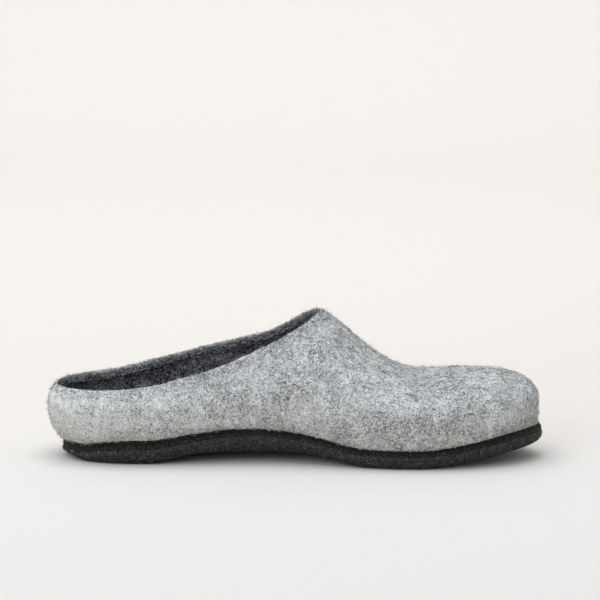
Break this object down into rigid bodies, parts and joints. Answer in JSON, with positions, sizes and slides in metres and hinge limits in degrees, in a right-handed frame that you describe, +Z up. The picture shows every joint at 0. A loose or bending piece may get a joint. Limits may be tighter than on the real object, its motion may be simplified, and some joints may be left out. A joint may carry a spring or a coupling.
{
  "type": "felt slipper",
  "caption": "Open-backed felt slipper with a one-piece moulded upper, a low heel cup, a sloping collar and a contoured sole with a raised arch and toe spring.",
  "frame": {"origin": "middle of the slipper's bounding box in plan, on the floor plane that the sole stands on", "axes": "+X towards the toe, -Y towards the inner side of the foot, +Z up"},
  "size_m": [0.2716, 0.102, 0.0797],
  "materials": {
    "upper": "light grey moulded wool felt",
    "insole": "anthracite felt",
    "midsole": "near-black pressed felt",
    "outsole": "matt charcoal"
  },
  "bodies": {
    "root": {"upper": "upper", "insole": "insole", "midsole": "midsole", "outsole": "outsole"}
  },
  "joints": []
}
